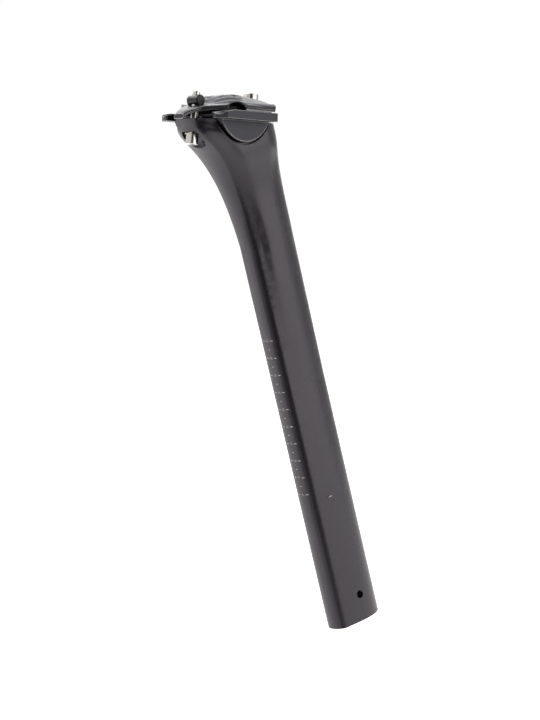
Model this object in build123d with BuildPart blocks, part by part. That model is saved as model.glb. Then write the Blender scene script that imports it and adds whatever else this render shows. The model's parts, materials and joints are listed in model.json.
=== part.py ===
from build123d import *
from math import acos, cos, radians, sin
import os

# Aero seatpost with a two-bolt saddle clamp, in millimetres.
# +Z runs up the shaft, +X points forward (the round nose), the origin is in the
# middle of the open lower end. The clamp is laid out in its own frame: s runs
# forward along the saddle rails, Y across, n away from the rails, upward.

# Shaft section
SHAFT_DEPTH = 34.6
SHAFT_HALF = 8.75
NOSE_LENGTH = 16.2
REAR_HALF = 7.35
CROWN = 1.17
CORNER_ACROSS = 2.1
CORNER_DEEP = 3.3
WALL = 2.2
SIDE_HOLE_R = 2.35
SIDE_HOLE_Z = 15.0

# Head
HEAD_START = 140.0
CAVITY_DROP = 71.26
HEAD_HALF = 17.75
HEAD_TOP = -5.4
SHOULDER = 10.0
FLARE_DROP = 81.26
FLARE_STEP = 8.0

# Clamp frame on the post
RAIL_HEIGHT = 301.26
RAIL_X = -15.45
RAIL_TILT = 19.3
RAIL_R = 3.5
RAIL_SPACING = 44.0

# Round seat of the clamp, and the half-moon that turns in it
PIVOT_S = 4.2
PIVOT_N = 2.3
CRADLE_R = 19.4
CRADLE_GAP = 0.3
RIM_GAP = 1.5
RIM_DEPTH = 2.5
CHEEK_T = 0.9
CHEEK_EDGE = 0.4
SIDE_GAP = 0.4
WING_OUT = 26.3
WING_REAR = -19.5
WING_FRONT = 22.0
WING_T = 4.7
JAW_GAP = 0.4

DISH_N = -3.5
RIDGE_IN = 12.7
NOTCH_R = 4.0
NOTCH_AHEAD = 2.0
TAIL_S = -27.6
NOSE_S = 32.5

# Rear bolt, in from below
REAR_S = -17.0
REAR_LEAN = 6.0
REAR_R = 2.0
REAR_HEAD_R = 3.4
REAR_HEAD_H = 5.0
REAR_SEAT = -11.8
REAR_WASHER_R = 4.2
REAR_WASHER_T = 2.2
REAR_SWIVEL_R = 6.0
REAR_NUT_W = 16.8
REAR_NUT_R = 3.2
REAR_NUT_L = 8.6
POCKET_WIDTH = 14.0
POCKET_DEPTH = 11.6
POCKET_AHEAD = 1.2

# Front bolt, in from above
FRONT_S = 26.1
FRONT_R = 2.5
FRONT_HEAD_R = 4.1
FRONT_HEAD_H = 4.0
FRONT_SEAT = 4.6
FRONT_WASHER_R = 4.6
FRONT_WASHER_T = 2.8
SWIVEL_R = 6.0
FRONT_NUT_N = -16.0
FRONT_NUT_R = 5.0
FRONT_NUT_L = 12.0

# Clearances and ends
SEAT_GAP = 0.25
FIT = 0.05
THREAD_GAP = 0.25
HOLE_GAP = 0.5
SWING = 1.2
REAR_END = 5.3
FRONT_END = 3.0
KEY_DEPTH = 2.6
REAR_KEY = 3.0
FRONT_KEY = 4.0

# Stations of the head, from the shaft upward, FLARE_STEP apart: back face,
# half-width of the back, greatest half-width
FLARE = (
    (0.0, REAR_HALF, SHAFT_HALF + 1.85),
    (-0.3, REAR_HALF + 0.1, SHAFT_HALF + 2.2),
    (-1.0, REAR_HALF + 0.35, SHAFT_HALF + 2.5),
    (-1.9, REAR_HALF + 0.7, SHAFT_HALF + 2.75),
    (-3.15, REAR_HALF + 1.1, HEAD_HALF - 5.8),
    (-4.75, REAR_HALF + 1.7, HEAD_HALF - 4.8),
    (-7.0, REAR_HALF + 2.5, HEAD_HALF - 3.0),
    (-10.1, REAR_HALF + 3.3, HEAD_HALF - 0.6),
    (-14.5, REAR_HALF + 3.9, HEAD_HALF),
    (-19.9, REAR_HALF + 3.5, HEAD_HALF),
    (-22.9, REAR_HALF + 2.2, HEAD_HALF - 2.2),
    (-23.3, REAR_HALF + 1.6, HEAD_HALF - 5.0),
)

BACK_X = -SHAFT_DEPTH / 2
WIDE_X = SHAFT_DEPTH / 2 - NOSE_LENGTH
FLARE_START = RAIL_HEIGHT - FLARE_DROP
CAVITY_TOP = RAIL_HEIGHT - CAVITY_DROP
HOLLOW_HALF = SHAFT_HALF - WALL
nose_near = (WIDE_X + (NOSE_LENGTH - WALL) * sin(radians(30)), HOLLOW_HALF * cos(radians(30)))
nose_far = (WIDE_X + (NOSE_LENGTH - WALL) * sin(radians(55)), HOLLOW_HALF * cos(radians(55)))
forward = (cos(radians(RAIL_TILT)), 0, -sin(radians(RAIL_TILT)))
upward = (sin(radians(RAIL_TILT)), 0, cos(radians(RAIL_TILT)))
RAILS = Plane(origin=(RAIL_X, 0, RAIL_HEIGHT), x_dir=forward, z_dir=upward)
SIDE = Plane(origin=(RAIL_X, 0, RAIL_HEIGHT), x_dir=forward, z_dir=(0, -1, 0))
CROSS = Plane(origin=(RAIL_X, 0, RAIL_HEIGHT), x_dir=(0, 1, 0), z_dir=forward)
RAIL_Y = RAIL_SPACING / 2
CHEEK_IN = HEAD_HALF + SIDE_GAP
CHEEK_OUT = CHEEK_IN + CHEEK_T
WING_TOP = -JAW_GAP * 2
SWIVEL_N = FRONT_SEAT + SWIVEL_R
# The rear bolt leans a little further forward: w runs up it from its seat
bolt_across = (cos(radians(RAIL_TILT + REAR_LEAN)), 0, -sin(radians(RAIL_TILT + REAR_LEAN)))
bolt_up = (sin(radians(RAIL_TILT + REAR_LEAN)), 0, cos(radians(RAIL_TILT + REAR_LEAN)))
bolt_seat = RAILS.from_local_coords((REAR_S, 0, REAR_SEAT))
BOLT = Plane(origin=bolt_seat, x_dir=bolt_across, z_dir=bolt_up)
BOLT_SIDE = Plane(origin=bolt_seat, x_dir=bolt_across, z_dir=(0, -1, 0))
NUT_X = RAIL_X + FRONT_S * forward[0] + FRONT_NUT_N * upward[0]
NUT_Z = RAIL_HEIGHT + FRONT_S * forward[2] + FRONT_NUT_N * upward[2]
os.makedirs("parts", exist_ok=True)


# The outline at one station: crowned back, two corners, flanks and round nose
def section(back, rear_half, half):
    fullness = (half - SHAFT_HALF) / (HEAD_HALF - SHAFT_HALF)
    x0 = BACK_X + back
    y0 = rear_half - CORNER_ACROSS
    x1 = x0 + CROWN + CORNER_DEEP * (1 - 0.45 * fullness)
    x2 = (1 - fullness) * (x1 + WIDE_X) / 2 + fullness * (x0 + SHOULDER)
    y2 = half - 0.455 * (1 - fullness)
    steep = acos(2 * CROWN * y0 / (y0**2 + CROWN**2))
    flank = radians(8 + 44 * fullness)
    ease = radians(6.6 * (1 - fullness))
    ThreePointArc((x0 + CROWN, -y0), (x0, 0), (x0 + CROWN, y0))
    for side in (1, -1):
        Spline(
            (x0 + CROWN, side * y0),
            (x1, side * rear_half),
            tangents=((cos(steep), side * sin(steep)), (cos(flank), side * sin(flank))),
        )
        Spline(
            (x1, side * rear_half),
            (x2, side * y2),
            (WIDE_X, side * half),
            tangents=(
                (cos(flank), side * sin(flank)),
                (cos(ease), side * sin(ease)),
                (1, 0),
            ),
        )
    EllipticalCenterArc((WIDE_X, 0), NOSE_LENGTH, half, start_angle=-90, arc_size=180)


# Pocket under the lip, round at its top for the rear washer
with BuildPart() as pocket:
    with BuildSketch(BOLT.offset(1)):
        with Locations((POCKET_AHEAD, 0)):
            SlotOverall(POCKET_WIDTH, POCKET_DEPTH, rotation=90)
    extrude(amount=-40)
    with BuildSketch(BOLT_SIDE):
        with Locations((0, -REAR_SWIVEL_R)):
            Circle(REAR_SWIVEL_R + SEAT_GAP)
            Rectangle(2 * POCKET_WIDTH, 60, align=(Align.CENTER, Align.MAX))
    extrude(amount=POCKET_WIDTH, both=True, mode=Mode.INTERSECT)

# Post: moulded shaft and head in one piece
with BuildPart() as post:
    with BuildSketch(Plane.XY):
        with BuildLine():
            section(0, REAR_HALF, SHAFT_HALF)
        make_face()
    extrude(amount=HEAD_START)
    for height, half in ((HEAD_START, SHAFT_HALF), (FLARE_START, FLARE[0][2])):
        with BuildSketch(Plane.XY.offset(height)):
            with BuildLine():
                section(0, REAR_HALF, half)
            make_face()
    loft(ruled=True)
    for number, (back, rear_half, half) in enumerate(FLARE):
        with BuildSketch(Plane.XY.offset(FLARE_START + number * FLARE_STEP)):
            with BuildLine():
                section(back, rear_half, half)
            make_face()
    loft()
    split(bisect_by=RAILS.offset(HEAD_TOP), keep=Keep.BOTTOM)
    # Hollow shaft
    with BuildSketch(Plane.XY):
        with BuildLine():
            ThreePointArc((WIDE_X, HOLLOW_HALF), nose_near, nose_far)
            ThreePointArc(nose_far, (SHAFT_DEPTH / 2 - WALL, 0), (nose_far[0], -nose_far[1]))
            ThreePointArc((nose_far[0], -nose_far[1]), (nose_near[0], -nose_near[1]), (WIDE_X, -HOLLOW_HALF))
            Polyline(
                (WIDE_X, -HOLLOW_HALF),
                (BACK_X + WALL + CORNER_DEEP, WALL - REAR_HALF),
                (BACK_X + WALL + CROWN / 2, WALL + CORNER_ACROSS - REAR_HALF),
                (BACK_X + WALL + CROWN / 2, REAR_HALF - WALL - CORNER_ACROSS),
                (BACK_X + WALL + CORNER_DEEP, REAR_HALF - WALL),
                (WIDE_X, HOLLOW_HALF),
            )
        make_face()
    extrude(amount=CAVITY_TOP, mode=Mode.SUBTRACT)
    # Cross hole near the lower end
    with BuildSketch(Plane.XZ):
        with Locations((0, SIDE_HOLE_Z)):
            Circle(SIDE_HOLE_R)
    extrude(amount=2 * SHAFT_HALF, both=True, mode=Mode.SUBTRACT)
    # Round trough for the half-moon
    with BuildSketch(SIDE):
        with Locations((PIVOT_S, PIVOT_N)):
            Circle(CRADLE_R + CRADLE_GAP)
    extrude(amount=2 * HEAD_HALF, both=True, mode=Mode.SUBTRACT)
    # The trough is wider at its two rims
    for side in (1, -1):
        with BuildSketch(SIDE.offset(side * (HEAD_HALF - RIM_DEPTH))):
            with Locations((PIVOT_S, PIVOT_N)):
                Circle(CRADLE_R + RIM_GAP)
        extrude(amount=side * HEAD_HALF, mode=Mode.SUBTRACT)
    # Pocket for the rear bolt's head, and its hole through the lip
    add(pocket.part, mode=Mode.SUBTRACT)
    with BuildSketch(BOLT.offset(-1)):
        Circle(REAR_R + HOLE_GAP)
    extrude(amount=20, mode=Mode.SUBTRACT)
    # Front bolt's hole and the round seat of its nut, open to the hollow shaft
    with BuildSketch(RAILS.offset(FRONT_NUT_N)):
        with Locations((FRONT_S, 0)):
            Circle(FRONT_R + HOLE_GAP)
    extrude(amount=20, mode=Mode.SUBTRACT)
    with BuildSketch(Plane.XZ):
        with Locations((NUT_X, NUT_Z)):
            Circle(FRONT_NUT_R + FIT)
        with Locations((NUT_X, (NUT_Z + CAVITY_TOP) / 2 - 1)):
            Rectangle(2 * (FRONT_NUT_R + FIT), NUT_Z - CAVITY_TOP + 2)
    extrude(amount=FRONT_NUT_L / 2 + SEAT_GAP, both=True, mode=Mode.SUBTRACT)
post.part.label = "post"
export_step(post.part, "parts/post.step")

# Lower cradle: half-moon with a grooved wing on each side
with BuildPart() as lower_cradle:
    with BuildSketch(SIDE):
        with Locations((PIVOT_S, PIVOT_N)):
            Circle(CRADLE_R)
        with Locations((PIVOT_S, WING_TOP)):
            Rectangle(3 * CRADLE_R, 2 * CRADLE_R, align=(Align.CENTER, Align.MIN), mode=Mode.SUBTRACT)
    extrude(amount=CHEEK_OUT, both=True)
    chamfer(lower_cradle.edges().filter_by(GeomType.CIRCLE), CHEEK_EDGE)
    with BuildSketch(RAILS.offset(WING_TOP)):
        with BuildLine():
            FilletPolyline(
                (WING_REAR, CHEEK_IN),
                (WING_REAR, CHEEK_IN + 2.2),
                (WING_REAR + 3.6, WING_OUT),
                (WING_FRONT, WING_OUT),
                (WING_FRONT, CHEEK_IN),
                radius=0.8,
                close=True,
            )
        make_face()
        mirror(about=Plane.XZ)
    extrude(amount=-WING_T)
    # The wings thin out and dip at their rear tips
    with BuildSketch(SIDE):
        with BuildLine():
            Polyline((WING_REAR - 1, -2.8), (WING_REAR + 9, WING_TOP), (WING_REAR - 1, WING_TOP), close=True)
        make_face()
    extrude(amount=WING_OUT + 1, both=True, mode=Mode.SUBTRACT)
    # Rail grooves
    with BuildSketch(CROSS.offset(WING_REAR - 5)):
        with Locations((RAIL_Y, 0), (-RAIL_Y, 0)):
            Circle(RAIL_R)
    extrude(amount=WING_FRONT - WING_REAR + 10, mode=Mode.SUBTRACT)
    # Hollow between the two ridges
    with BuildSketch(RAILS.offset(DISH_N)):
        with Locations((PIVOT_S, 0)):
            Rectangle(3 * CRADLE_R, 2 * RIDGE_IN)
    extrude(amount=10, mode=Mode.SUBTRACT)
    # Notch for the rear bolt
    with BuildSketch(RAILS.offset(PIVOT_N - CRADLE_R)):
        with Locations((REAR_S + NOTCH_AHEAD, 0)):
            Circle(NOTCH_R)
            Rectangle(CRADLE_R, 2 * NOTCH_R, align=(Align.MAX, Align.CENTER))
    extrude(amount=2 * CRADLE_R, mode=Mode.SUBTRACT)
lower_cradle.part.label = "lower_cradle"
export_step(lower_cradle.part, "parts/lower_cradle.step")

# Hollows in the upper clamp's top: a wedge ahead of the crest, and one each side
with BuildPart() as hollows:
    with BuildSketch(RAILS):
        with BuildLine():
            FilletPolyline((0.5, 0), (15.0, 9.5), (17.6, 6.5), (17.6, -6.5), (15.0, -9.5), radius=0.8, close=True)
        make_face()
        with BuildLine():
            FilletPolyline((-0.6, 4.0), (-0.6, 12.5), (10.5, 18.5), (12.6, 11.8), radius=0.8, close=True)
        make_face()
        with BuildLine():
            FilletPolyline((-0.6, -4.0), (-0.6, -12.5), (10.5, -18.5), (12.6, -11.8), radius=0.8, close=True)
        make_face()
    extrude(amount=20)
    with BuildSketch(CROSS):
        with BuildLine():
            floor = Spline((-WING_OUT, 0.2), (-RAIL_Y, 4.0), (-9.0, 7.4), (0, 7.6), (9.0, 7.4), (RAIL_Y, 4.0), (WING_OUT, 0.2))
            Polyline(floor @ 1, (WING_OUT + 1, 20), (-WING_OUT - 1, 20), floor @ 0)
        make_face()
    extrude(amount=60, both=True, mode=Mode.INTERSECT)

# Upper clamp: leaf-shaped plate, arched across and lengthwise
with BuildPart() as upper_clamp:
    with BuildSketch(RAILS.offset(-10)):
        with BuildLine():
            FilletPolyline(
                (TAIL_S, -4.2),
                (TAIL_S, 4.2),
                (REAR_S - 0.7, 9.0),
                (-10.2, 16.5),
                (1.5, WING_OUT),
                (20.6, WING_OUT),
                (FRONT_S + 4, 7.5),
                (NOSE_S, 3.5),
                (NOSE_S, -3.5),
                (FRONT_S + 4, -7.5),
                (20.6, -WING_OUT),
                (1.5, -WING_OUT),
                (-10.2, -16.5),
                (REAR_S - 0.7, -9.0),
                radius=2.0,
                close=True,
            )
        make_face()
    extrude(amount=24)
    with BuildSketch(SIDE):
        with BuildLine():
            top = Spline(
                (TAIL_S - 1, -3.6),
                (-24.7, -0.5),
                (REAR_S, 2.5),
                (-4.0, 3.4),
            )
            step = Line(top @ 1, (-2.4, 8.2))
            crest = Spline(step @ 1, (5.5, 9.2), (15.0, 8.9), (NOSE_S + 1, 5.6))
            under = Polyline(
                crest @ 1,
                (NOSE_S + 1, -JAW_GAP),
                (-14.0, -JAW_GAP),
                (-20.0, -1.5),
                (-24.5, -3.0),
                (-26.6, -4.6),
                (TAIL_S - 1, -6.8),
                top @ 0,
            )
        make_face()
    extrude(amount=WING_OUT + 1, both=True, mode=Mode.INTERSECT)
    with BuildSketch(CROSS):
        with BuildLine():
            arch = Spline(
                (-WING_OUT, 1.4),
                (-RAIL_Y, 5.2),
                (-9.0, 8.8),
                (0, 9.6),
                (9.0, 8.8),
                (RAIL_Y, 5.2),
                (WING_OUT, 1.4),
            )
            Polyline(arch @ 1, (WING_OUT + 1, -12), (-WING_OUT - 1, -12), arch @ 0)
        make_face()
    extrude(amount=60, both=True, mode=Mode.INTERSECT)
    # Rail grooves
    with BuildSketch(CROSS.offset(-40)):
        with Locations((RAIL_Y, 0), (-RAIL_Y, 0)):
            Circle(RAIL_R)
    extrude(amount=80, mode=Mode.SUBTRACT)
    # Groove for the rear nut, and slots for both bolts
    with BuildSketch(BOLT_SIDE):
        with Locations((0, REAR_NUT_W)):
            Circle(REAR_NUT_R + FIT)
    extrude(amount=REAR_NUT_L, both=True, mode=Mode.SUBTRACT)
    with BuildSketch(BOLT):
        SlotCenterToCenter(2 * SWING, 2 * (REAR_R + HOLE_GAP))
    extrude(amount=REAR_NUT_W, mode=Mode.SUBTRACT)
    with BuildSketch(RAILS.offset(-10)):
        with Locations((FRONT_S, 0)):
            SlotCenterToCenter(2 * SWING, 2 * (FRONT_R + HOLE_GAP))
    extrude(amount=24, mode=Mode.SUBTRACT)
    # Round seat of the front washer
    with BuildSketch(SIDE):
        with Locations((FRONT_S, SWIVEL_N)):
            Circle(SWIVEL_R + SEAT_GAP)
    extrude(amount=FRONT_WASHER_R + HOLE_GAP, both=True, mode=Mode.SUBTRACT)
    add(hollows.part, mode=Mode.SUBTRACT)
upper_clamp.part.label = "upper_clamp"
export_step(upper_clamp.part, "parts/upper_clamp.step")

# Rear bolt, its head down in the pocket
with BuildPart() as rear_bolt:
    with BuildSketch(BOLT.offset(-REAR_WASHER_T)):
        Circle(REAR_HEAD_R)
    extrude(amount=-REAR_HEAD_H)
    with BuildSketch(BOLT.offset(-REAR_WASHER_T - REAR_HEAD_H)):
        RegularPolygon(REAR_KEY / 2, 6, major_radius=False)
    extrude(amount=KEY_DEPTH, mode=Mode.SUBTRACT)
    with BuildSketch(BOLT.offset(-REAR_WASHER_T)):
        Circle(REAR_R)
    extrude(amount=REAR_NUT_W + REAR_END + REAR_WASHER_T)
    chamfer(rear_bolt.edges().filter_by(GeomType.CIRCLE).sort_by(Axis.Z)[-1], 0.4)
rear_bolt.part.label = "rear_bolt"
export_step(rear_bolt.part, "parts/rear_bolt.step")

# Rear washer: round above, flat below, so that the bolt can swing
with BuildPart() as rear_washer:
    with BuildSketch(BOLT_SIDE):
        with Locations((0, -REAR_SWIVEL_R)):
            Circle(REAR_SWIVEL_R)
    extrude(amount=REAR_WASHER_R, both=True)
    with BuildSketch(BOLT.offset(-REAR_WASHER_T)):
        Circle(REAR_WASHER_R)
        Circle(REAR_R + FIT, mode=Mode.SUBTRACT)
    extrude(amount=REAR_WASHER_T, mode=Mode.INTERSECT)
rear_washer.part.label = "rear_washer"
export_step(rear_washer.part, "parts/rear_washer.step")

# Rear nut: barrel lying across the tail, bored for the bolt
with BuildPart() as rear_nut:
    with BuildSketch(BOLT_SIDE):
        with Locations((0, REAR_NUT_W)):
            Circle(REAR_NUT_R)
    extrude(amount=REAR_NUT_L / 2, both=True)
    chamfer(rear_nut.edges().filter_by(GeomType.CIRCLE), 0.5)
    with BuildSketch(BOLT.offset(REAR_NUT_W - 2 * REAR_NUT_R)):
        Circle(REAR_R + THREAD_GAP)
    extrude(amount=4 * REAR_NUT_R, mode=Mode.SUBTRACT)
rear_nut.part.label = "rear_nut"
export_step(rear_nut.part, "parts/rear_nut.step")

# Front bolt, its head up on the nose
with BuildPart() as front_bolt:
    with BuildSketch(RAILS.offset(FRONT_SEAT + FRONT_WASHER_T)):
        with Locations((FRONT_S, 0)):
            Circle(FRONT_HEAD_R)
    extrude(amount=FRONT_HEAD_H)
    chamfer(front_bolt.edges().sort_by(Axis.Z)[-1], 0.4)
    with BuildSketch(RAILS.offset(FRONT_SEAT + FRONT_WASHER_T + FRONT_HEAD_H)):
        with Locations((FRONT_S, 0)):
            RegularPolygon(FRONT_KEY / 2, 6, major_radius=False)
    extrude(amount=-KEY_DEPTH, mode=Mode.SUBTRACT)
    with BuildSketch(RAILS.offset(FRONT_SEAT + FRONT_WASHER_T)):
        with Locations((FRONT_S, 0)):
            Circle(FRONT_R)
    extrude(amount=FRONT_NUT_N - FRONT_END - FRONT_SEAT - FRONT_WASHER_T)
front_bolt.part.label = "front_bolt"
export_step(front_bolt.part, "parts/front_bolt.step")

# Front washer: flat above, round below, so that the bolt can swing
with BuildPart() as front_washer:
    with BuildSketch(SIDE):
        with Locations((FRONT_S, SWIVEL_N)):
            Circle(SWIVEL_R)
        with Locations((FRONT_S, FRONT_SEAT + FRONT_WASHER_T)):
            Rectangle(3 * SWIVEL_R, 3 * SWIVEL_R, align=(Align.CENTER, Align.MIN), mode=Mode.SUBTRACT)
    extrude(amount=FRONT_WASHER_R, both=True)
    with BuildSketch(RAILS.offset(FRONT_SEAT)):
        with Locations((FRONT_S, 0)):
            Circle(FRONT_WASHER_R)
    extrude(amount=FRONT_WASHER_T, mode=Mode.INTERSECT)
    with BuildSketch(RAILS.offset(FRONT_SEAT)):
        with Locations((FRONT_S, 0)):
            Circle(FRONT_R + FIT)
    extrude(amount=FRONT_WASHER_T, mode=Mode.SUBTRACT)
front_washer.part.label = "front_washer"
export_step(front_washer.part, "parts/front_washer.step")

# Front nut: barrel under the head's top, in its round seat
with BuildPart() as front_nut:
    with BuildSketch(Plane.XZ):
        with Locations((NUT_X, NUT_Z)):
            Circle(FRONT_NUT_R)
    extrude(amount=FRONT_NUT_L / 2, both=True)
    with BuildSketch(RAILS.offset(FRONT_NUT_N - 2 * FRONT_NUT_R)):
        with Locations((FRONT_S, 0)):
            Circle(FRONT_R + THREAD_GAP)
    extrude(amount=4 * FRONT_NUT_R, mode=Mode.SUBTRACT)
front_nut.part.label = "front_nut"
export_step(front_nut.part, "parts/front_nut.step")
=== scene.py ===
import json
from math import cos, pi, radians, sin
import bmesh
import bpy
import numpy as np
from mathutils import Matrix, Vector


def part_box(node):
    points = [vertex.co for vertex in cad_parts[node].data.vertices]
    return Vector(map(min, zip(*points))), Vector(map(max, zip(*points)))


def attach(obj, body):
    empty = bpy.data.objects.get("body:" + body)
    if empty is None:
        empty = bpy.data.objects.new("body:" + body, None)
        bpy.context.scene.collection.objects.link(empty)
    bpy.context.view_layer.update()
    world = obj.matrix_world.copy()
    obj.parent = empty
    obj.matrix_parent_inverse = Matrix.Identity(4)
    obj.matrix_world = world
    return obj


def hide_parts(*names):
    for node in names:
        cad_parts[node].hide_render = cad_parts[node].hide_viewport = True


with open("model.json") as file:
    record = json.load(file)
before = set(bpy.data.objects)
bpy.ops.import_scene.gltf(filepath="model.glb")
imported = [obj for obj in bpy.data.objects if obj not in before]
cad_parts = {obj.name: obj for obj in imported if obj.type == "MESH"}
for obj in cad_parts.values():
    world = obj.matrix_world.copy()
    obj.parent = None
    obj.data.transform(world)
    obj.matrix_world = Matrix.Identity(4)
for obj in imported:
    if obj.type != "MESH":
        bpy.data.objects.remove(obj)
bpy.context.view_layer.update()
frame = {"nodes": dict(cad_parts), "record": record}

# Aero seatpost with a two-bolt saddle clamp. The solids come from the frame. This file gives them
# their finishes, makes the upper clamp's plate, prints the height scale and sets up the studio.
nodes = frame["nodes"]
record = frame["record"]
mm = 0.001


def linear(code):
    # sRGB hex to linear: c / 12.92 below 0.04045, else ((c + 0.055) / 1.055) ^ 2.4
    values = [int(code[i:i + 2], 16) / 255 for i in (1, 3, 5)]
    return tuple(c / 12.92 if c <= 0.04045 else ((c + 0.055) / 1.055) ** 2.4 for c in values) + (1.0,)


def addNode(tree, kind, sockets=None, **settings):
    # one node with its settings; a socket takes a value or another node's output
    node = tree.nodes.new("ShaderNode" + kind)
    for name, value in settings.items():
        setattr(node, name, value)
    for name, value in (sockets or {}).items():
        if isinstance(value, bpy.types.NodeSocket):
            tree.links.new(value, node.inputs[name])
        else:
            node.inputs[name].default_value = value
    return node


def newMaterial(name):
    material = bpy.data.materials.new(name)
    material.use_nodes = True
    material.node_tree.nodes.clear()
    return material, material.node_tree


def finishMaterial(tree, shader):
    addNode(tree, "OutputMaterial", {"Surface": shader.outputs[0]})


def setTones(ramp, tones):
    for stop, (position, color) in zip(ramp.color_ramp.elements, tones):
        stop.position = position
        stop.color = linear(color)


def dress(name, material):
    # a solid from the frame keeps its mesh and only takes the material
    for holder in nodes[name].material_slots:
        holder.material = material


# Nearly every value of a noise texture lies between these two
noiseSpan = {"From Min": 0.3, "From Max": 0.7}

# Satin black paint over moulded carbon: dull, with a fine even grain
paint = {
    "tones": ((0.35, "#181619"), (0.65, "#1D1B1E")),  # place on the noise, colour
    "patchSize": 26 * mm,
    "roughness": (0.27, 0.33),
    "ior": 1.5,
    "sheen": "#FDF4FF",
    "grain": 0.5 * mm,      # the real grain is about 0.1 mm, drawn as coarse as it needs to show
    "grainDepth": 0.012 * mm,
    "waveSize": 9 * mm,     # the slow unevenness of a moulded wall
    "waveDepth": 0.01 * mm,
    "edge": 0.45 * mm,      # the paint rounds off every edge
}


def satinPaintOnCarbon(p):
    material, tree = newMaterial("satinPaintOnCarbon")
    place = addNode(tree, "TexCoord").outputs["Object"]
    cloud = addNode(tree, "TexNoise", {"Vector": place, "Scale": 1 / p["patchSize"],
                                       "Detail": 3.0, "Roughness": 0.5})
    tone = addNode(tree, "ValToRGB", {"Fac": cloud.outputs["Fac"]})
    setTones(tone, p["tones"])
    grain = addNode(tree, "TexNoise", {"Vector": place, "Scale": 1 / p["grain"],
                                       "Detail": 2.0, "Roughness": 0.6})
    dull = addNode(tree, "MapRange", {"Value": grain.outputs["Fac"], **noiseSpan,
                                      "To Min": p["roughness"][0], "To Max": p["roughness"][1]})
    wave = addNode(tree, "TexNoise", {"Vector": place, "Scale": 1 / p["waveSize"], "Detail": 1.0})
    rounded = addNode(tree, "Bevel", {"Radius": p["edge"]}, samples=4)
    level = addNode(tree, "Bump", {"Height": wave.outputs["Fac"], "Distance": p["waveDepth"],
                                   "Strength": 1.0, "Normal": rounded.outputs["Normal"]})
    rough = addNode(tree, "Bump", {"Height": grain.outputs["Fac"], "Distance": p["grainDepth"],
                                   "Strength": 1.0, "Normal": level.outputs["Normal"]})
    shader = addNode(tree, "BsdfPrincipled", {
        "Base Color": tone.outputs["Color"], "Roughness": dull.outputs["Result"], "IOR": p["ior"],
        "Specular Tint": linear(p["sheen"]), "Normal": rough.outputs["Normal"]})
    finishMaterial(tree, shader)
    return material


# Blasted and dark anodised aluminium: soft grey sheen, lighter along the edges, partly rubbed wear and
# partly a painted highlight where the edges catch light
alloy = {
    "color": "#3A393C",
    "rubbedEdgeAndHighlight": "#B4B2B0",
    "roughness": (0.40, 0.48),
    "blast": 0.35 * mm,     # bead marks are about 0.15 mm, drawn as coarse as they need to show
    "blastDepth": 0.008 * mm,
    "edge": 0.45 * mm,
    "rubAndHighlightFrom": 0.985,       # cosine between true and rounded normal where the rubbed wear and the painted edge highlight begin
    "rubAndHighlightFull": 0.90,        # and where they are at their strongest
    "rubAndHighlightShare": 0.8,
}


def blastedAnodisedAluminium(p):
    material, tree = newMaterial("blastedAnodisedAluminium")
    place = addNode(tree, "TexCoord").outputs["Object"]
    beads = addNode(tree, "TexNoise", {"Vector": place, "Scale": 1 / p["blast"], "Detail": 2.0})
    dull = addNode(tree, "MapRange", {"Value": beads.outputs["Fac"], **noiseSpan,
                                      "To Min": p["roughness"][0], "To Max": p["roughness"][1]})
    bump = addNode(tree, "Bump", {"Height": beads.outputs["Fac"], "Distance": p["blastDepth"],
                                  "Strength": 1.0})
    # an edge is where the rounded normal leaves the true one
    rounded = addNode(tree, "Bevel", {"Radius": p["edge"]}, samples=4)
    true = addNode(tree, "NewGeometry")
    turn = addNode(tree, "VectorMath", {0: rounded.outputs["Normal"], 1: true.outputs["Normal"]},
                   operation="DOT_PRODUCT")
    # edge mask for the lighter edge colour: partly rubbed bare metal, partly a painted highlight standing
    # in for light caught by the rounded edges
    wearAndHighlight = addNode(tree, "MapRange", {"Value": turn.outputs["Value"], "From Min": p["rubAndHighlightFrom"],
                                      "From Max": p["rubAndHighlightFull"], "To Max": p["rubAndHighlightShare"]})
    # sockets 6 and 7 and output 2 are the colours of the Mix node
    color = addNode(tree, "Mix", {"Factor": wearAndHighlight.outputs["Result"], 6: linear(p["color"]),
                                  7: linear(p["rubbedEdgeAndHighlight"])}, data_type="RGBA")
    shader = addNode(tree, "BsdfPrincipled", {
        "Base Color": color.outputs[2], "Metallic": 1.0,
        "Roughness": dull.outputs["Result"], "Normal": bump.outputs["Normal"]})
    finishMaterial(tree, shader)
    return material


# Bright stainless screws and dark steel nuts, turned: fine rings break up the shine. Real turning
# marks are about 0.05 mm apart, and these lines are drawn as coarse as they need to show.
screwSteel = {
    "name": "brightTurnedSteel",
    "color": "#BDBAB5",
    "roughness": (0.18, 0.27),
    "line": 0.25 * mm,
    "lineDepth": 0.003 * mm,
    "smear": 3 * mm,
}
nutSteel = {
    "name": "darkTurnedSteel",
    "color": "#303031",
    "roughness": (0.26, 0.35),
    "line": 0.3 * mm,
    "lineDepth": 0.004 * mm,
    "smear": 3 * mm,
}
waveLength = 0.314  # a wave texture of scale 1 repeats at this distance, in metres


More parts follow.
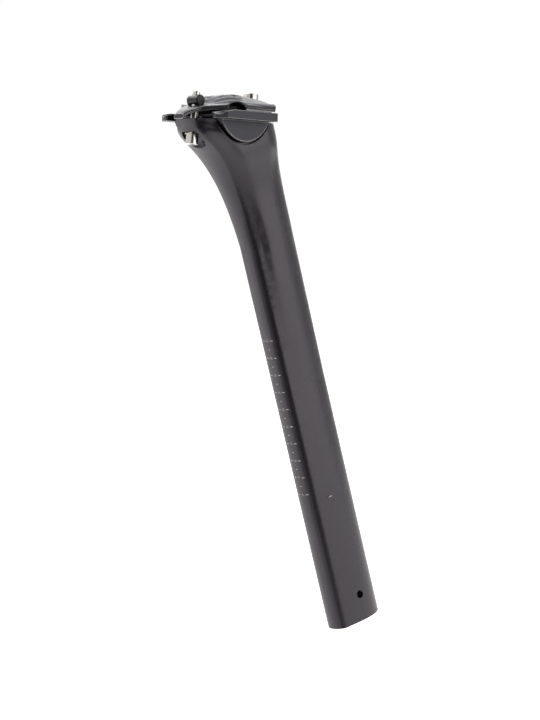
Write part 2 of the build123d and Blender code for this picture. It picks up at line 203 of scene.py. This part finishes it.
def turnedSteel(part, p):
    # spheres round the piece's middle cut every turned face in rings
    material, tree = newMaterial(p["name"] + part.title().replace("_", ""))
    place = addNode(tree, "TexCoord").outputs["Object"]
    low, high = (np.array(corner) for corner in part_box(part))
    centred = addNode(tree, "Mapping", {"Vector": place, "Location": tuple(-(low + high) / 2)})
    rings = addNode(tree, "TexWave", {"Vector": centred.outputs["Vector"],
                                      "Scale": waveLength / p["line"]},
                    wave_type="RINGS", rings_direction="SPHERICAL")
    bump = addNode(tree, "Bump", {"Height": rings.outputs["Fac"], "Distance": p["lineDepth"],
                                  "Strength": 1.0})
    smear = addNode(tree, "TexNoise", {"Vector": place, "Scale": 1 / p["smear"], "Detail": 2.0})
    dull = addNode(tree, "MapRange", {"Value": smear.outputs["Fac"], **noiseSpan,
                                      "To Min": p["roughness"][0], "To Max": p["roughness"][1]})
    shader = addNode(tree, "BsdfPrincipled", {
        "Base Color": linear(p["color"]), "Metallic": 1.0,
        "Roughness": dull.outputs["Result"], "Normal": bump.outputs["Normal"]})
    finishMaterial(tree, shader)
    return material


def meshPiece(name, points, faces):
    mesh = bpy.data.meshes.new(name)
    mesh.from_pydata(np.asarray(points).tolist(), [], faces)
    made = bpy.data.objects.new(name, mesh)
    bpy.context.scene.collection.objects.link(made)
    return made


def finishedMesh(thing):
    # a new mesh of the thing as it stands, with its modifiers or its text worked out
    bpy.context.view_layer.update()
    return bpy.data.meshes.new_from_object(thing.evaluated_get(bpy.context.evaluated_depsgraph_get()))


def outwards(mesh):
    work = bmesh.new()
    work.from_mesh(mesh)
    bmesh.ops.recalc_face_normals(work, faces=work.faces)
    work.to_mesh(mesh)
    work.free()


# Upper clamp: forged leaf plate, domed over both rails, with a crest, ribbed hollows and bolt slots.
# Sizes in millimetres: s along the rails, y across them, w up from the rails' middle.
plate = {
    "mountAlong": 2.5,      # the record's rail mounts are this far ahead of s = 0
    # half width along s
    "outline": ((-27.6, 3.6), (-17.7, 9.0), (-10.4, 17.0), (-1.8, 26.3), (20.6, 26.3), (30.1, 7.5),
                (32.5, 3.6)),
    # heights along s: at the rim, on the middle line and underneath
    "rim": ((-28.6, -4.6), (-24.7, -1.5), (-17.0, 1.5), (-8.0, 2.4), (1.5, 2.2), (20.6, 1.3), (33.0, 1.8)),
    "crest": ((-28.6, -3.8), (-24.7, -0.6), (-17.0, 2.4), (-4.6, 3.4), (-1.4, 8.4), (5.5, 9.5),
              (20.0, 7.5), (33.0, 5.2)),
    "under": ((-28.6, -6.8), (-26.6, -4.6), (-24.5, -3.0), (-20.0, -1.5), (-14.0, -0.4), (33.0, -0.4)),
    "corner": 1.3,          # how far corners of the lines above are rounded
    "crestCorner": 1.04,
    "crease": 0.5,
    "dome": 3.0,            # power of the fall from the crest to the rim
    "edge": 0.4,            # rounding of the rim
    "railAt": 22.0,
    "railRound": 3.5,
    "wall": 0.9,            # over a rail
    # hollow behind the front bolt: half width along s, and depth
    "wedge": ((0.5, 0.0), (15.0, 9.5), (17.6, 6.5)),
    "wedgeDeep": 1.7,
    # ribbed pocket on each side: range of s, then its inner and outer side as (y at its start, slope)
    "pocket": (-0.6, 12.0),
    "pocketIn": (4.2, 0.59),
    "pocketOut": (12.8, 0.54),
    "pocketDeep": 1.3,
    "rib": 0.5,
    "ribPitch": 2.4,
    "soft": 0.9,            # width over which a hollow reaches its depth
    # terraces on the step up to the crest: range of s and range of y
    "terrace": (-5.4, 2.2),
    "terraceReach": (2.5, 20.0),
    "terraceHigh": 0.28,
    "terracePitch": 1.7,
    "terraceSlant": 0.12,
    "seats": (
        # joint at the bolt, radius and half length of the round seat of the nut or washer
        ("rear_nut_swing", 3.25, 8.6),
        ("front_bolt_swing", 6.25, 5.1),
    ),
    "slots": (
        # joint at the bolt, radius of its slot
        ("rear_nut_swing", 2.5),
        ("front_bolt_swing", 3.0),
    ),
    "swing": 1.2,           # how far each slot's ends are moved apart, along the rails
    "slotReach": (16, 10),  # the slot's cutter, below and above the joint
    "slotPoints": 40,
    "sharpAngle": 32,
    "along": 300,           # points along s, over the top and underneath
    "across": 170,
    "below": 80,
}
railMount = next(mount for mount in record["mounts"] if mount["name"] == "rail_clamp_left")
railForward = np.array(railMount["axis"])
railUp = np.cross(railForward, (0.0, 1.0, 0.0))
railMiddle = np.array(railMount["pos_m"]) * (1, 0, 1) - plate["mountAlong"] * mm * railForward
swivelAt = {joint["name"]: np.array(joint["pos_m"]) for joint in record["behaviour"]["joints"]}
farOff = 99.0               # millimetres, beyond every face of the plate


def onRails(point):
    # a point of the frame as (s, w)
    away = (np.array(point) - railMiddle) / mm
    return away @ railForward, away @ railUp


def roundedLine(points, at, soft, steps=9):
    # the straight runs through the points, averaged over a window, which rounds the corners
    ends = np.array(points)
    window = np.linspace(-soft, soft, steps)
    return np.interp(at[:, None] + window, ends[:, 0], ends[:, 1]).mean(axis=1)


def inside(value, low, high):
    # the smaller of value - low and high - value
    return np.minimum(value - low, high - value)


def smoothStep(depth, soft):
    # 3 t^2 - 2 t^3, where t runs from 0 at the edge to 1 at the soft width inside it
    t = np.clip(depth / soft, 0, 1)
    return t * t * (3 - 2 * t)


def roundOver(away, radius):
    # half circle: sqrt(r^2 - away^2), and far below wherever that has no value
    rise = radius ** 2 - away ** 2
    return np.where(rise > 0, np.sqrt(np.maximum(rise, 0)), -farOff)


def hollows(s, away, p):
    # depth = wedge depth x its smooth step + (pocket depth - rib x (1 + cos) / 2) x its smooth step
    along = s[:, None]
    halfWidth = roundedLine(p["wedge"], s, p["crease"])[:, None]
    wedge = np.minimum(halfWidth - away, inside(along, p["wedge"][0][0], p["wedge"][-1][0]))
    fromStart = along - p["pocket"][0]
    inner = p["pocketIn"][0] + p["pocketIn"][1] * fromStart
    outer = p["pocketOut"][0] + p["pocketOut"][1] * fromStart
    pocket = np.minimum(inside(away, inner, outer), inside(along, *p["pocket"]))
    rib = p["rib"] * (0.5 + 0.5 * np.cos(2 * pi * (away - p["pocketOut"][1] * along) / p["ribPitch"]))
    wedge = p["wedgeDeep"] * smoothStep(wedge, p["soft"])
    pocket = (p["pocketDeep"] - rib) * smoothStep(pocket, p["soft"])
    return wedge + pocket


def terraces(along, away, p):
    # ripples along the rails: high x cos(2 pi x (s - slant x |y|) / pitch), faded at their limits
    limits = np.minimum(inside(along, *p["terrace"]), inside(away, *p["terraceReach"]))
    ripple = np.cos(2 * pi * (along - p["terraceSlant"] * away) / p["terracePitch"])
    return p["terraceHigh"] * ripple * smoothStep(limits, p["soft"])


def plateTop(s, y, half, p):
    # height = rim + (crest - rim) x (1 - |y / half|^dome) - hollows + terraces, never less than
    # the wall over a rail, and cut by the round seats of the nut and the washer
    along = s[:, None]
    away = np.abs(y)
    rim = roundedLine(p["rim"], s, p["corner"])[:, None]
    crest = roundedLine(p["crest"], s, p["crestCorner"])[:, None]
    height = rim + (crest - rim) * (1 - (away / half[:, None]) ** p["dome"])
    height = height - hollows(s, away, p) + terraces(along, away, p)
    height = np.maximum(height, roundOver(away - p["railAt"], p["railRound"] + p["wall"]))
    for joint, radius, reach in p["seats"]:
        middle, level = onRails(swivelAt[joint])
        seat = level - roundOver(along - middle, radius)
        height = np.minimum(height, np.where(away < reach, seat, farOff))
    return height


def plateBottom(s, y, p):
    # the flat underside with a round groove over each rail: height = sqrt(r^2 - (|y| - rail)^2)
    under = roundedLine(p["under"], s, p["crease"])[:, None]
    return np.maximum(under, roundOver(np.abs(y) - p["railAt"], p["railRound"]))


def plateSurface(p):
    # one ring of points for each s: over the top, round the near rim, back underneath and round
    # the far rim. Each point = rails' middle + s x forward + w x up, with y across
    s = np.linspace(p["outline"][0][0], p["outline"][-1][0], p["along"])
    widest = max(corner[1] for corner in p["outline"])
    half = np.minimum(roundedLine(p["outline"], s, p["corner"]), widest)
    inset = (half - p["edge"])[:, None]
    yTop = inset * np.sin(np.linspace(-pi / 2, pi / 2, p["across"]))
    yLow = inset * np.linspace(1, -1, p["below"])
    top = plateTop(s, yTop, half, p)
    low = plateBottom(s, yLow, p)
    rimNear = (top[:, -1:] + low[:, :1]) / 2
    rimFar = (top[:, :1] + low[:, -1:]) / 2
    y = np.hstack((yTop, half[:, None], yLow, -half[:, None]))
    w = np.hstack((top, rimNear, low, rimFar))
    points = railMiddle + (s[:, None, None] * railForward + w[..., None] * railUp) * mm
    points[..., 1] = y * mm
    return points


def ringFaces(rows, ring):
    # quads from each ring to the next, and one face over each end
    i, j = np.meshgrid(np.arange(rows - 1), np.arange(ring), indexing="ij")
    k = (j + 1) % ring
    quads = np.stack((i * ring + j, i * ring + k, (i + 1) * ring + k, (i + 1) * ring + j), axis=-1)
    last = (rows - 1) * ring
    return quads.reshape(-1, 4).tolist() + [list(range(ring)), list(range(last, last + ring))[::-1]]


def slotCutter(middle, axis, radius, p):
    # a bar along the bolt: a circle of the slot's radius, its halves moved apart along the rails
    count = p["slotPoints"]
    turn = np.linspace(0, 2 * pi, count, endpoint=False)
    lengthways = np.cross((0.0, 1.0, 0.0), axis)
    flat = radius * np.column_stack((np.cos(turn), np.sin(turn)))
    flat[:, 0] += p["swing"] * np.sign(np.cos(turn))
    ring = middle + (flat[:, :1] * lengthways + flat[:, 1:] * (0.0, 1.0, 0.0)) * mm
    below, above = p["slotReach"]
    points = np.vstack((ring - below * mm * axis, ring + above * mm * axis))
    i = np.arange(count)
    j = (i + 1) % count
    sides = np.column_stack((i, j, j + count, i + count)).tolist()
    return points, sides + [i[::-1].tolist(), (i + count).tolist()]


def cutSlots(piece, p):
    boltLine = swivelAt["rear_nut_swing"] - swivelAt["rear_bolt_swing"]
    axes = {"rear_nut_swing": boltLine / np.linalg.norm(boltLine), "front_bolt_swing": railUp}
    for joint, radius in p["slots"]:
        cutter = meshPiece("slotCutter", *slotCutter(swivelAt[joint], axes[joint], radius, p))
        outwards(cutter.data)
        cut = piece.modifiers.new("slot", "BOOLEAN")
        cut.operation = "DIFFERENCE"
        cut.solver = "EXACT"
        cut.object = cutter
        shape = finishedMesh(piece)
        piece.modifiers.clear()
        piece.data = shape
        bpy.data.objects.remove(cutter)


def upperPlate(p, material):
    points = plateSurface(p)
    piece = meshPiece("upperClampPlate", points.reshape(-1, 3), ringFaces(*points.shape[:2]))
    outwards(piece.data)
    cutSlots(piece, p)
    piece.data.shade_smooth()
    piece.data.set_sharp_from_angle(angle=radians(p["sharpAngle"]))
    piece.data.materials.clear()
    piece.data.materials.append(material)
    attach(piece, "clamp")
    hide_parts("upper_clamp")


dress("post", satinPaintOnCarbon(paint))
clampFinish = blastedAnodisedAluminium(alloy)
for part in ("lower_cradle", "upper_clamp"):
    dress(part, clampFinish)
for part in ("rear_bolt", "rear_washer", "front_bolt", "front_washer"):
    dress(part, turnedSteel(part, screwSteel))
for part in ("rear_nut", "front_nut"):
    dress(part, turnedSteel(part, nutSteel))
print("finishes on", len(nodes), "solids")
upperPlate(plate, clampFinish)
print("upper clamp made")


# Height scale printed on the back of the shaft: centimetres above the lower end
scale = {
    "first": 80 * mm,
    "step": 10 * mm,
    "rows": 10,
    "dash": (2.1 * mm, 3.9 * mm),  # on each side of the figure, from and to
    "tick": 0.55 * mm,             # half length of the short line between two figures
    "line": 0.42 * mm,
    "figure": 2.1 * mm,
    "thick": 0.03 * mm,
    "back": -17.3 * mm,            # the shaft's back, which is crowned to this radius
    "round": 12.364 * mm,
    "side": 8.75 * mm,             # the shaft's flat side
    "mark": (-6.6 * mm, -4.2 * mm, 75.2 * mm, 0.5 * mm),  # from, to, level and line width
    "ink": ((0.3, "#8B8988"), (0.55, "#C9C7C4")),         # place on the noise, colour
    "inkRough": 0.5,
    "speck": 0.4 * mm,             # specks are about 0.1 mm, drawn as coarse as they need to show
}


def onBack(flat, p):
    # x = back + r - sqrt(r^2 - y^2) - thickness: the flat print laid on the crowned back
    x = p["back"] + p["round"] - np.sqrt(p["round"] ** 2 - flat[:, 0] ** 2) - p["thick"]
    return np.column_stack((x, -flat[:, 0], flat[:, 1]))


def onNearSide(flat, p):
    # y = -side - thickness: the flat print laid on the near side
    return np.column_stack((flat[:, 0], np.full(len(flat), -p["side"] - p["thick"]), flat[:, 1]))


def stripe(left, right, middle, height, cells=4):
    # points evenly from left to right at middle - height / 2 and at middle + height / 2,
    # with a quad in each cell, so that the stripe can bend round the back
    across = np.linspace(left, right, cells + 1)
    low = np.column_stack((across, np.full(cells + 1, middle - height / 2)))
    high = np.column_stack((across, np.full(cells + 1, middle + height / 2)))
    first = np.arange(cells)
    faces = np.column_stack((first, first + 1, first + cells + 2, first + cells + 1))
    return np.vstack((low, high)), faces.tolist()


def figure(text, size, middle):
    # the figure's own mesh, centred on the scale line
    curve = bpy.data.curves.new("figure", "FONT")
    curve.body = text
    curve.size = size
    curve.align_x = "CENTER"
    curve.align_y = "CENTER"
    carrier = bpy.data.objects.new("figure", curve)
    bpy.context.scene.collection.objects.link(carrier)
    shape = finishedMesh(carrier)
    points = np.zeros(len(shape.vertices) * 3)
    shape.vertices.foreach_get("co", points)
    faces = [list(face.vertices) for face in shape.polygons]
    bpy.data.objects.remove(carrier)
    return points.reshape(-1, 3)[:, :2] + (0, middle), faces


def padPrintedInk(p):
    # pale matt ink, a little thin and specked as a pad leaves it
    material, tree = newMaterial("padPrintedInk")
    place = addNode(tree, "TexCoord").outputs["Object"]
    speck = addNode(tree, "TexNoise", {"Vector": place, "Scale": 1 / p["speck"], "Detail": 2.0})
    tone = addNode(tree, "ValToRGB", {"Fac": speck.outputs["Fac"]})
    setTones(tone, p["ink"])
    shader = addNode(tree, "BsdfPrincipled", {"Base Color": tone.outputs["Color"],
                                              "Roughness": p["inkRough"]})
    finishMaterial(tree, shader)
    return material


def joined(parts):
    # the parts' points in one list, and their faces with the number of each part's first point added
    allPoints = []
    allFaces = []
    for points, faces in parts:
        allFaces += [[i + len(allPoints) for i in face] for face in faces]
        allPoints += points.tolist()
    return allPoints, allFaces


def printScale(p):
    flats = []
    for row in range(p["rows"]):
        middle = p["first"] + row * p["step"]
        start, stop = p["dash"]
        flats.append(stripe(-stop, -start, middle, p["line"]))
        flats.append(stripe(start, stop, middle, p["line"]))
        flats.append(figure(str(round(middle / (10 * mm))), p["figure"], middle))
        if row < p["rows"] - 1:
            flats.append(stripe(-p["tick"], p["tick"], middle + p["step"] / 2, p["line"]))
    parts = [(onBack(points, p), faces) for points, faces in flats]
    # the limit mark on the near side, a short level dash, its faces turned to point outwards
    points, faces = stripe(*p["mark"], cells=1)
    parts.append((onNearSide(points, p), [face[::-1] for face in faces]))
    made = meshPiece("heightScale", *joined(parts))
    made.data.materials.append(padPrintedInk(p))
    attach(made, "post")


printScale(scale)
print("height scale printed")


# Studio: four softboxes, three flags that show only in reflections, a weak sky and a pale floor.
# Sizes and places in metres.
studio = {
    "floor": -0.25,
    "floorSize": 40.0,
    "floorColor": "#E9E8E6",
    "floorGlow": 0.76,
    "sky": 0.32,
    "aim": (0.0, 0.0, 0.16),
    "softboxes": (
        # name, centre, width, height, radiance, where 1 shows as white
        ("rearBox", (-1.265, 0.806, 0.2), 2.0, 1.2, 1.2),
        ("frontBox", (0.574, -1.386, 0.3), 1.5, 1.5, 1.47),
        ("backBox", (1.15, 0.85, 1.0), 2.2, 1.1, 2.5),
        ("topBox", (0.2, 1.05, 1.5), 1.8, 1.2, 3.2),
    ),
    "flags": (
        # name, start, end, top, colour
        ("cornerFlag", (-1.16, 0.31), (-0.11, -1.19), 0.17, "#383838"),
        ("stripeFlag", (-1.0, -0.688), (-0.365, -1.334), 1.1, "#101010"),
        ("edgeFlag", (1.12, -0.82), (1.28, 0.5), 0.25, "#D2D2D2"),
    ),
    "flagGap": 0.01,        # between a flag and the floor
}


def putAt(thing, right, up, back, at):
    # turns the thing's own three axes to these and puts it at its place
    turn = np.eye(4)
    turn[:3] = np.column_stack((right, up, back, at))
    thing.matrix_world = Matrix(turn.tolist())


def addSoftbox(p, name, centre, width, height, radiance):
    # watts = radiance x pi x area, so that the box itself shows at that radiance
    lamp = bpy.data.lights.new(name, "AREA")
    lamp.shape = "RECTANGLE"
    lamp.size = width
    lamp.size_y = height
    lamp.energy = radiance * pi * width * height
    box = bpy.data.objects.new(name, lamp)
    bpy.context.scene.collection.objects.link(box)
    away = np.array(centre) - np.array(p["aim"])
    away = away / np.linalg.norm(away)
    side = np.cross((0, 0, 1), away)
    side = side / np.linalg.norm(side)
    putAt(box, side, np.cross(away, side), away, centre)
    box.visible_camera = False


def seenRay(tree):
    # 1 for the rays that show the background: camera, glossy and transmission
    path = addNode(tree, "LightPath")
    seen = path.outputs["Is Camera Ray"]
    for kind in ("Is Glossy Ray", "Is Transmission Ray"):
        seen = addNode(tree, "Math", {0: seen, 1: path.outputs[kind]}, operation="MAXIMUM").outputs[0]
    return seen


def flatPanel(name, corners, material):
    made = meshPiece(name, corners, [list(range(len(corners)))])
    made.data.materials.append(material)
    return made


def paleFloor(p):
    # white paint that glows just enough, to the camera and in reflections, to meet white
    material, tree = newMaterial("paleFloor")
    matt = addNode(tree, "BsdfDiffuse", {"Color": linear(p["floorColor"])})
    lift = addNode(tree, "Math", {0: seenRay(tree), 1: p["floorGlow"]}, operation="MULTIPLY")
    glow = addNode(tree, "Emission", {"Color": (1, 1, 1, 1), "Strength": lift.outputs[0]})
    both = addNode(tree, "AddShader", {0: matt.outputs[0], 1: glow.outputs[0]})
    # clear from beneath, so that a camera under the floor sees the object
    side = addNode(tree, "NewGeometry").outputs["Backfacing"]
    clear = addNode(tree, "BsdfTransparent")
    shader = addNode(tree, "MixShader", {0: side, 1: both.outputs[0], 2: clear.outputs[0]})
    finishMaterial(tree, shader)
    half = p["floorSize"] / 2
    corners = [(-half, -half), (half, -half), (half, half), (-half, half)]
    flatPanel("floor", [(x, y, p["floor"]) for x, y in corners], material)


def reflectionFlags(p):
    # cloth seen only in reflections: dark for the line down the corner,
    # black and tall for the stripe in the steel, grey for the front edge
    for name, start, end, top, color in p["flags"]:
        material, tree = newMaterial(name + "Cloth")
        finishMaterial(tree, addNode(tree, "BsdfDiffuse", {"Color": linear(color)}))
        low = p["floor"] + p["flagGap"]
        corners = [(*start, low), (*end, low), (*end, top), (*start, top)]
        flag = flatPanel(name, corners, material)
        flag.visible_camera = False
        flag.visible_diffuse = False
        flag.visible_shadow = False
        flag.visible_transmission = False


def studioSky(p):
    world = bpy.data.worlds.new("studioSky")
    bpy.context.scene.world = world
    world.use_nodes = True
    tree = world.node_tree
    tree.nodes.clear()
    level = addNode(tree, "MapRange", {"Value": seenRay(tree), "To Min": p["sky"], "To Max": 1.0})
    sky = addNode(tree, "Background", {"Color": (1, 1, 1, 1), "Strength": level.outputs["Result"]})
    addNode(tree, "OutputWorld", {"Surface": sky.outputs[0]})


for box in studio["softboxes"]:
    addSoftbox(studio, *box)
paleFloor(studio)
reflectionFlags(studio)
studioSky(studio)
print("studio set")

# Camera at the photograph's place: where it stands in metres, how it is turned in degrees, its lens
camera = {
    "at": (-1.47643, -1.59121, 0.64265),
    "azimuth": -132.5,
    "elevation": 12.62,
    "roll": -13.12,
    "focalPixels": 4000,    # on a picture this many pixels wide
    "pictureWidth": 540,
    "sensor": 36.0,         # millimetres
    "farthest": 60,
}


def addCamera(p):
    # back = (cos e cos a, cos e sin a, sin e); the level line across it and the rise are then rolled
    azimuth = radians(p["azimuth"])
    elevation = radians(p["elevation"])
    roll = radians(p["roll"])
    back = np.array((cos(elevation) * cos(azimuth), cos(elevation) * sin(azimuth), sin(elevation)))
    level = np.array((-sin(azimuth), cos(azimuth), 0.0))
    rise = np.cross(back, level)
    right = cos(roll) * level + sin(roll) * rise
    up = cos(roll) * rise - sin(roll) * level
    lens = bpy.data.cameras.new("photoCamera")
    lens.sensor_fit = "HORIZONTAL"
    lens.sensor_width = p["sensor"]
    lens.lens = p["focalPixels"] / p["pictureWidth"] * p["sensor"]
    lens.clip_end = p["farthest"]
    eye = bpy.data.objects.new("photoCamera", lens)
    bpy.context.scene.collection.objects.link(eye)
    putAt(eye, right, up, back, p["at"])
    bpy.context.scene.camera = eye


addCamera(camera)
bpy.context.scene.view_settings.view_transform = "Standard"
print("camera placed")
